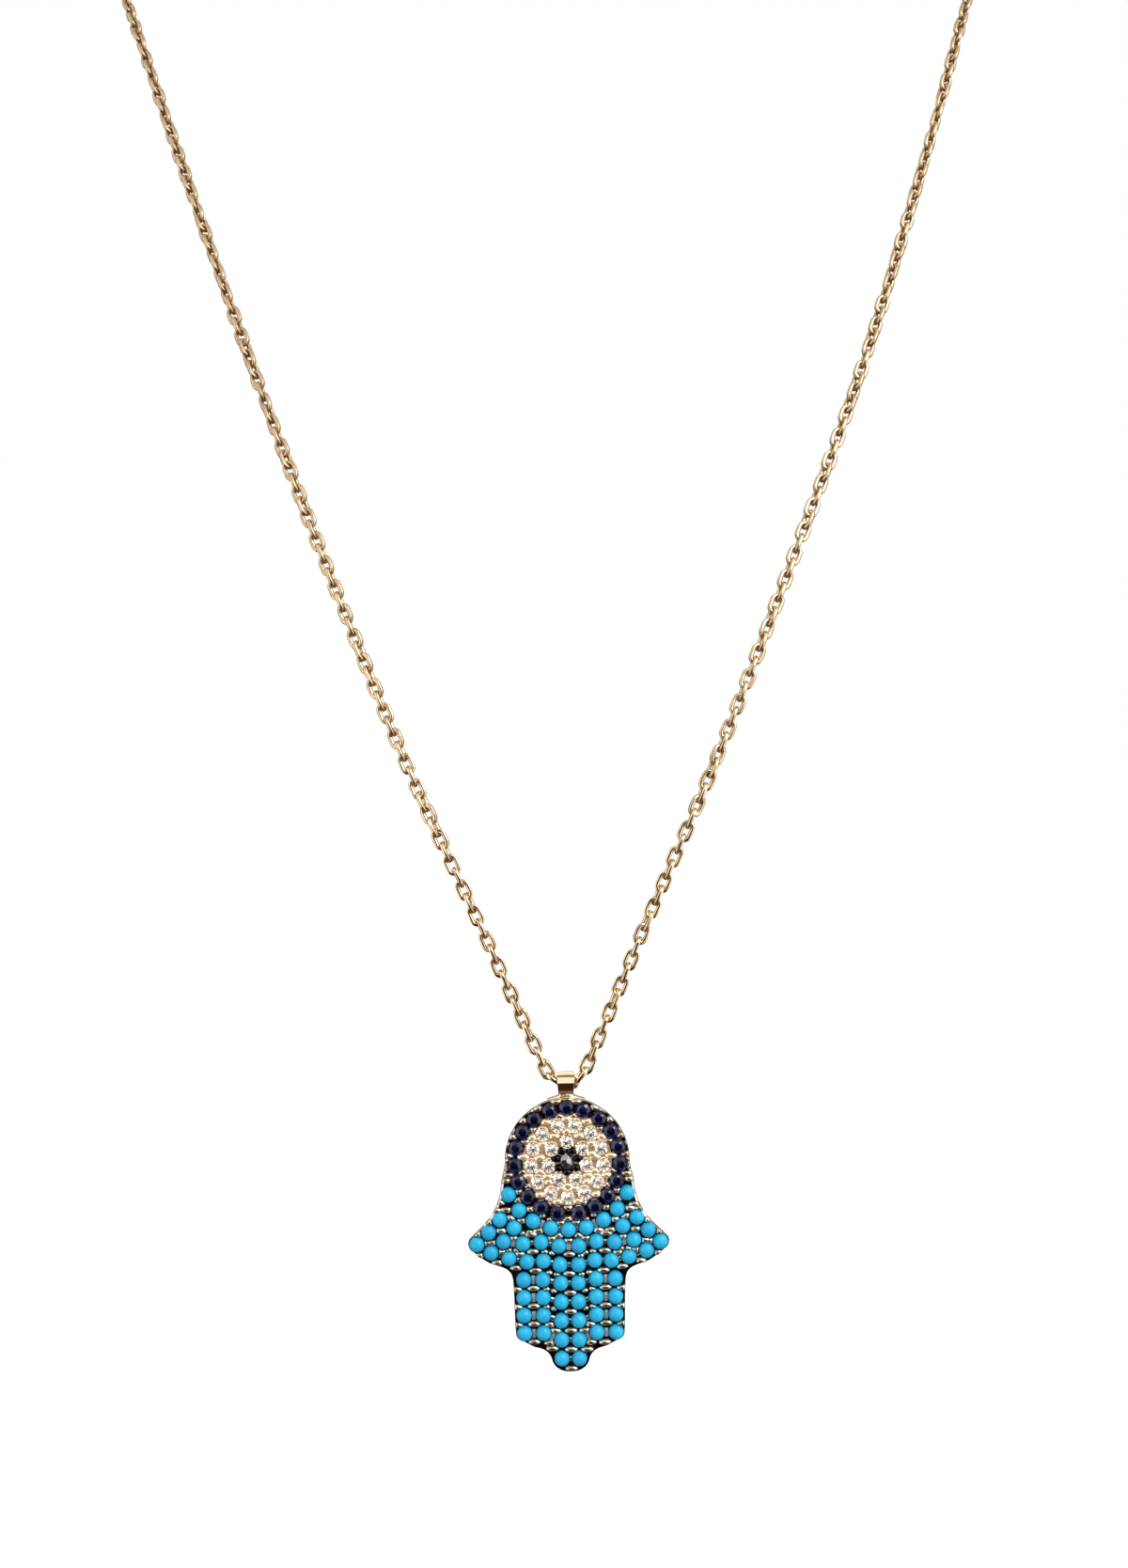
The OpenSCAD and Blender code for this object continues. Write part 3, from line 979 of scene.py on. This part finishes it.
def make_walls():
    """The bars of metal between turquoise stones side by side: thin and pale, or wide, longer and dull."""
    shell = Shell()
    pale, dull = range(2)
    for i, a in enumerate(turquoise):
        for b in turquoise[i + 1:]:
            gap = Vector((b[0] - a[0], b[1] - a[1]))
            if gap.length > a[2] + b[2] + WALL_GAP_LIMIT or abs(gap.y) > WALL_TILT_LIMIT * gap.length:
                continue
            middle = Vector(((a[0] + b[0]) / 2, (a[1] + b[1]) / 2))
            across = gap.normalized()
            side = Vector((-gap.y, gap.x)).normalized()
            half = (gap.length - a[2] - b[2]) / 2 - WALL_CLEAR
            wide = half > WIDE_WALL
            reach = WIDE_WALL_REACH if wide else SLIM_WALL_REACH
            rings = []
            for share, z in WALL_LAYERS:
                corners = [middle + across * half * share * u + side * reach * share * v
                           for u, v in WALL_CORNERS]
                rings.append([(*corner, z) for corner in corners])
            shell.skin(rings, dull if wide else pale)
    return shell


def make_domes():
    """Turquoise domes: round shoulders over a straight skirt."""
    shell = Shell()
    height = -(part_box("turquoise_stones")[0].y - front_y) / MM
    for x, y, r in turquoise:
        own = height * random.uniform(*DOME_HEIGHTS)
        lean = Matrix.Rotation(random.uniform(-DOME_LEAN, DOME_LEAN), 3, "X")
        lean = lean @ Matrix.Rotation(random.uniform(-DOME_LEAN, DOME_LEAN), 3, "Y")
        ball = (own * own + r * r) / (2 * own)
        edge = math.asin(min(1.0, r / ball))
        if own > r:
            edge = math.pi - edge
        rings = [level_ring(r, -STONE_SKIRT, DOME_SIDES)]
        for step in range(DOME_RINGS):
            a = edge * (1 - step / (DOME_RINGS + DOME_TOP_SHARE))
            rings.append(level_ring(ball * math.sin(a), own - ball + ball * math.cos(a), DOME_SIDES))
        placed = [[Vector((x, y, 0)) + lean @ Vector(p) for p in ring] for ring in rings]
        shell.skin(placed, tone=random.random() ** 2)
    return shell


def brilliant(r, table_z, culet_z, table_share):
    """A round brilliant: table, stars, bezels, girdle facets and a two-tier pavilion."""
    table_r, mid_r, low_r = table_share * r, CROWN_MID_SHARE * r, PAVILION_MID_SHARE * r
    half_step = math.cos(math.pi / 8)
    mid_z = GIRDLE_HIGH + (table_z - GIRDLE_HIGH) * (r - mid_r * half_step) / (r - table_r)
    low_z = culet_z + (GIRDLE_LOW - culet_z) * low_r * half_step / r
    verts = level_ring(table_r, table_z, 8) + level_ring(mid_r, mid_z, 8, 0.5)
    verts += level_ring(r, GIRDLE_HIGH, 16) + level_ring(r, GIRDLE_LOW, 16)
    verts += level_ring(low_r, low_z, 8, 0.5) + [(0, 0, culet_z)]
    table, mid, high, low, under, tip = 0, 8, 16, 32, 48, 56
    faces = [tuple(range(8))]
    for k in range(8):
        m = (k + 1) % 8
        p = (k - 1) % 8
        faces.append((table + k, mid + k, table + m))
        faces.append((table + k, mid + p, high + 2 * k, mid + k))
        faces.append((mid + k, high + 2 * k, high + 2 * k + 1))
        faces.append((mid + k, high + 2 * k + 1, high + (2 * k + 2) % 16))
        faces.append((tip, under + k, low + 2 * k, under + p))
        faces.append((under + k, low + 2 * k + 1, low + 2 * k))
        faces.append((under + k, low + (2 * k + 2) % 16, low + 2 * k + 1))
    for k in range(16):
        m = (k + 1) % 16
        faces.append((high + k, high + m, low + m, low + k))
    return verts, faces


def make_brilliants(places, lean, aside=0.0, up=0.0, table_share=TABLE_SHARE):
    """Cut stones, each turned by itself and leaning a little, as stones set by hand do. Besides, all face
    aside and up by those angles."""
    shell = Shell()
    for x, y, r in places:
        culet_z = GIRDLE_LOW - PAVILION_DEPTH_SHARE * r
        verts, faces = brilliant(r - GIRDLE_PLAY, GIRDLE_HIGH + CROWN_HEIGHT, culet_z, table_share)
        turn = Matrix.Rotation(random.uniform(0, math.tau), 3, "Z")
        tip = Matrix.Rotation(aside + random.uniform(-lean, lean), 3, "Y")
        tip = tip @ Matrix.Rotation(random.uniform(-lean, lean) - up, 3, "X")
        placed = [Vector((x, y, 0)) + tip @ turn @ Vector(v) for v in verts]
        shell.add(placed, faces, tone=random.random())
    return shell


def bail_section(half):
    """The band's section, rounded outside, by its half width: across it, and out from the hole's middle."""
    outside = [(-half, 0.05), (-half + 0.03, 0.015), (-half * 0.5, 0.003), (0, 0),
               (half * 0.5, 0.003), (half - 0.03, 0.015), (half, 0.05)]
    section = [(-half, BAIL_IN_R)]
    section += [(across, BAIL_OUT_R - under) for across, under in outside]
    section.append((half, BAIL_IN_R))
    return section


def add_band(shell):
    """The bail's band, wider at its top."""
    rings = []
    for a in angles(BAIL_STEPS):
        swell = min(1, (math.cos(a) + 1) / 2 * BAIL_SWELL) ** BAIL_SWELL_POWER
        half = (BAIL_FOOT_W + (BAIL_TOP_W - BAIL_FOOT_W) * swell) / 2
        rings.append([(across, bail_up + r * math.cos(a), r * math.sin(a) - PLATE_T / 2)
                      for across, r in bail_section(half)])
    shell.skin(rings, looped=True)


def add_saddle(shell):
    """The solder that spreads from the bail's foot over the hand's top."""
    right = [(x, outline_top + up) for x, up in SADDLE_SIDE]
    x, up = SADDLE_FOOT
    loop = [Vector(p) for p in right[::-1]] + [Vector((-x, y)) for x, y in right]
    loop += [Vector((-x, outline_top + up)), Vector((x, outline_top + up))]
    shell.add(*slab([loop], *SADDLE_SPAN, SADDLE_EDGE))


def add_foot_bars(shell):
    """Bars of solder that bend with the hand's top and thin out to their ends."""
    for half, up, z, r in FOOT_BARS:
        rings = []
        for i in range(BAR_STEPS + 1):
            share = i / (BAR_STEPS / 2) - 1
            thin = r * math.sqrt(max(BAR_END, 1 - share ** 4))
            drop = half * half * share * share / (2 * outline_top)
            level = outline_top + up - drop
            rings.append([(half * share, level + thin * math.cos(a), z + thin * math.sin(a))
                          for a in angles(BAR_SIDES)])
        shell.skin(rings)


def make_bail():
    """The band bail with its solder."""
    shell = Shell()
    add_band(shell)
    add_saddle(shell)
    add_foot_bars(shell)
    return shell


def route_points(side):
    """One half's route as a smooth curve through its points, in short steps. It runs to the right, and the
    left half is mirrored later."""
    points = [Vector((x + side * drift, y, z)) for x, y, z, drift in CHAIN_ROUTE]
    count = len(points)

    def heading(i):
        if i == 0:
            return Vector((1, 0, 0))
        if i == count - 1:
            return Vector((-1, 0, 0))
        return (points[i + 1] - points[i - 1]).normalized()

    found = []
    for i in range(count - 1):
        a, b = points[i], points[i + 1]
        length = (b - a).length
        for k in range(ROUTE_STEPS):
            s = k / ROUTE_STEPS
            found.append((2 * s**3 - 3 * s**2 + 1) * a + (s**3 - 2 * s**2 + s) * length * heading(i)
                         + (3 * s**2 - 2 * s**3) * b + (s**3 - s**2) * length * heading(i + 1))
    found.append(points[-1])
    return found


class Walk:
    """A path by its length: where it is, and its heading and side there, carried along without twist."""

    def __init__(self, points, side):
        self.points = points
        self.lengths = [0.0]
        for a, b in zip(points, points[1:]):
            self.lengths.append(self.lengths[-1] + (b - a).length)
        self.sides = []
        for i in range(len(points)):
            along = self.heading(i)
            side = (side - along * side.dot(along)).normalized()
            self.sides.append(side)

    def heading(self, i):
        a = self.points[max(0, i - 1)]
        b = self.points[min(len(self.points) - 1, i + 1)]
        return (b - a).normalized()

    def at(self, s):
        i = 0
        while i < len(self.lengths) - 2 and self.lengths[i + 1] < s:
            i += 1
        share = (s - self.lengths[i]) / (self.lengths[i + 1] - self.lengths[i])
        along = self.heading(i).lerp(self.heading(i + 1), share).normalized()
        side = self.sides[i].lerp(self.sides[i + 1], share)
        side = (side - along * side.dot(along)).normalized()
        return self.points[i].lerp(self.points[i + 1], share), along, side


def link_rings():
    """Rings of a cable link's wire, flattened outside: x along the chain, y across it, z through the link."""
    r = LINK_WIRE / 2
    section = [(u * r, w * r) for u, w in LINK_SECTION] + [(u * r, -w * r) for u, w in LINK_SECTION[-2::-1]]
    bend_r = LINK_W / 2 - r
    reach = (LINK_PITCH + LINK_WIRE) / 2 - bend_r
    rings = []
    for end in (1, -1):
        for step in range(LINK_ARC_STEPS + 1):
            a = math.pi * (step / LINK_ARC_STEPS - 0.5) + (0 if end > 0 else math.pi)
            out = Vector((math.cos(a), math.sin(a), 0))
            middle = Vector((end * reach, 0, 0)) + out * bend_r
            rings.append([middle + out * u + Vector((0, 0, w)) for u, w in section])
    return rings


def ring_shape(centre, axis, r, wire_r, around, sides, start=0.0, sweep=math.tau):
    """Rings of a round wire bent about an axis, all the way round or over a part of it."""
    axis = Vector(axis).normalized()
    u = axis.orthogonal().normalized()
    v = axis.cross(u)
    whole = sweep == math.tau
    rings = []
    for i in range(around if whole else around + 1):
        a = start + sweep * i / around
        out = u * math.cos(a) + v * math.sin(a)
        rings.append([Vector(centre) + out * (r + wire_r * math.cos(b)) + axis * wire_r * math.sin(b)
                      for b in angles(sides)])
    return rings


def make_chain(side):
    """One half of the chain: links face-on and edge-on by turns, and a jump ring through the clasp's eye."""
    shell = Shell()
    template = link_rings()
    first = CHAIN_PHASE if side > 0 else LINK_PITCH - CHAIN_PHASE
    edge_on = 0 if side > 0 else 1
    walk = Walk(route_points(side), Vector((0, -1, 0)))
    last = walk.lengths[-1] - END_SPARE
    count = round((last - first) / LINK_PITCH)
    pitch = (last - first) / count
    for k in range(count + 1):
        s = first + k * pitch
        middle, along, across = walk.at(s)
        turn = TWIST_AT_TOP * min(1.0, s / TWIST_LENGTH) + random.uniform(-LINK_SWAY, LINK_SWAY)
        if k % 2 == edge_on:
            turn += math.pi / 2
        up = along.cross(across)
        y = across * math.cos(turn) + up * math.sin(turn)
        z = along.cross(y)
        rings = []
        for ring in template:
            placed = [middle + along * p.x + y * p.y + z * p.z for p in ring]
            rings.append([Vector((p.x * side, p.y, p.z)) for p in placed])
        # The tone runs with the length along the chain, and darkens the gold there as a painted shade.
        shell.skin(rings, tone=min(1.0, s / CHAIN_SHADE_BY), looped=True)
    end = walk.points[-1]
    aside = CLASP_R + CLASP_EYE_R - CLASP_EYE_WIRE_R + JUMP_RING_ASIDE
    jump = ring_shape((aside * side, end.y, end.z), JUMP_RING_AXIS,
                      JUMP_RING_R - JUMP_RING_WIRE_R, JUMP_RING_WIRE_R, 32, 8)
    shell.skin(jump, looped=True)
    return shell


def make_clasp():
    """A spring ring: its open hoop, the bolt that closes it, and two eyes."""
    shell = Shell()
    facing = (0, 1, 0)
    centre = Vector((0, CHAIN_ROUTE[-1][1], CHAIN_ROUTE[-1][2]))
    hoop_r = CLASP_R - CLASP_WIRE_R
    bolt_r = CLASP_WIRE_R * BOLT_SHARE
    shell.skin(ring_shape(centre, facing, hoop_r, CLASP_WIRE_R, 60, 18, CLASP_GAP, math.tau - CLASP_GAP))
    shell.skin(ring_shape(centre, facing, hoop_r, bolt_r, 12, 14, -0.05, CLASP_GAP + 0.15))
    eye_wire_r = CLASP_EYE_WIRE_R
    for side in (-1, 1):
        eye = centre + Vector((side * (CLASP_R + CLASP_EYE_R - eye_wire_r), 0, 0))
        shell.skin(ring_shape(eye, facing, CLASP_EYE_R - eye_wire_r, eye_wire_r, 36, 12), looped=True)
    return shell


make_camera()
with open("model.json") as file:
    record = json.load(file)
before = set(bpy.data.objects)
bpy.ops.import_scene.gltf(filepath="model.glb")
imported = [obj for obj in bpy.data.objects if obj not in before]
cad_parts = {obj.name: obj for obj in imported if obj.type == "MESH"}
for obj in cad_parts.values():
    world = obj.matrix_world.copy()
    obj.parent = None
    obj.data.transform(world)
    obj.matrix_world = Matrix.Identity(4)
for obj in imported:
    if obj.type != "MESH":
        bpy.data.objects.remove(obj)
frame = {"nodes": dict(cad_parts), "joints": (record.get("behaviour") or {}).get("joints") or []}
cad_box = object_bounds()
random.seed(SEED)

bail_hole = Vector(frame["joints"][0]["pos_m"])
front_y = bail_hole.y - PLATE_T / 2 * MM
pupil_low, pupil_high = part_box("pupil_stone")
eye_middle = (pupil_low + pupil_high) / 2
hang = Matrix.Translation((eye_middle.x, front_y, eye_middle.z)) @ Matrix.Rotation(math.pi / 2, 4, "X")
hang = hang @ Matrix.Scale(MM, 4)
to_flat = hang.inverted()
string = Matrix.Translation(bail_hole) @ Matrix.Scale(MM, 4)

turquoise = stones_of("turquoise_stones")
navy = stones_of("navy_stones")
clear = stones_of("clear_stones")
pupil = stones_of("pupil_stone")
stones = turquoise + navy + clear + pupil
setting = merged("setting")
prong_level = -(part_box("setting")[0].y - front_y) / MM
prongs = spans(islands(faces_at(setting, prong_level)))
outline = outline_of(setting)
setting.free()
outline_top = max(p.y for p in outline)
bail_up = (to_flat @ bail_hole).y

make_world()
make_floor(cad_box[0].z)
make_key_light(Vector((0, front_y, eye_middle.z - KEY_AIM_DROP)))

# Among the plate's metals, the flank paint is a painted highlight and the eye's deeper floor a painted shade.
plate_metals = [make_gold(), make_dark_plating(), make_rim_plating(), make_flank_highlight(), make_shaded_eye_floor()]
pale_tips = make_pale_tips()
chain_gold = make_chain_gold()

make_plate().become("setting_plate", plate_metals, hang, "pendant", "setting", "gold_plate")
make_prongs().become(
    "setting_prongs", [make_eye_gold(), make_black_plating(), pale_tips],
    hang, "pendant", "setting", "gold_plate", math.radians(60))
make_walls().become(
    "setting_walls", [pale_tips, make_dull_metal()], hang, "pendant", "setting", "gold_plate")
make_bail().become("bail_band", [make_bail_gold()], hang, "pendant", "setting", "gold_plate")
make_domes().become(
    "turquoise_domes", [make_turquoise()], hang, "pendant", "turquoise_stones", "turquoise")
make_brilliants(navy, NAVY_LEAN).become(
    "navy_brilliants", [make_navy_stone()], hang, "pendant", "navy_stones", "navy_stone", None)
make_brilliants(clear, CLEAR_LEAN).become(
    "clear_brilliants", [make_clear_stone()], hang, "pendant", "clear_stones", "clear_stone", None)
make_brilliants(pupil, 0.0, *PUPIL_FACES, PUPIL_TABLE_SHARE).become(
    "pupil_brilliant", [make_black_stone()], hang, "pendant", "pupil_stone", "black_stone", None)
make_chain(1).become("chain_links_right", [chain_gold], string, "chain", "chain_right", "gold_chain")
make_chain(-1).become("chain_links_left", [chain_gold], string, "chain", "chain_left", "gold_chain")
make_clasp().become("clasp_ring", [chain_gold], string, "chain", "clasp", "gold_chain")

bpy.context.scene.view_settings.view_transform = "Standard"
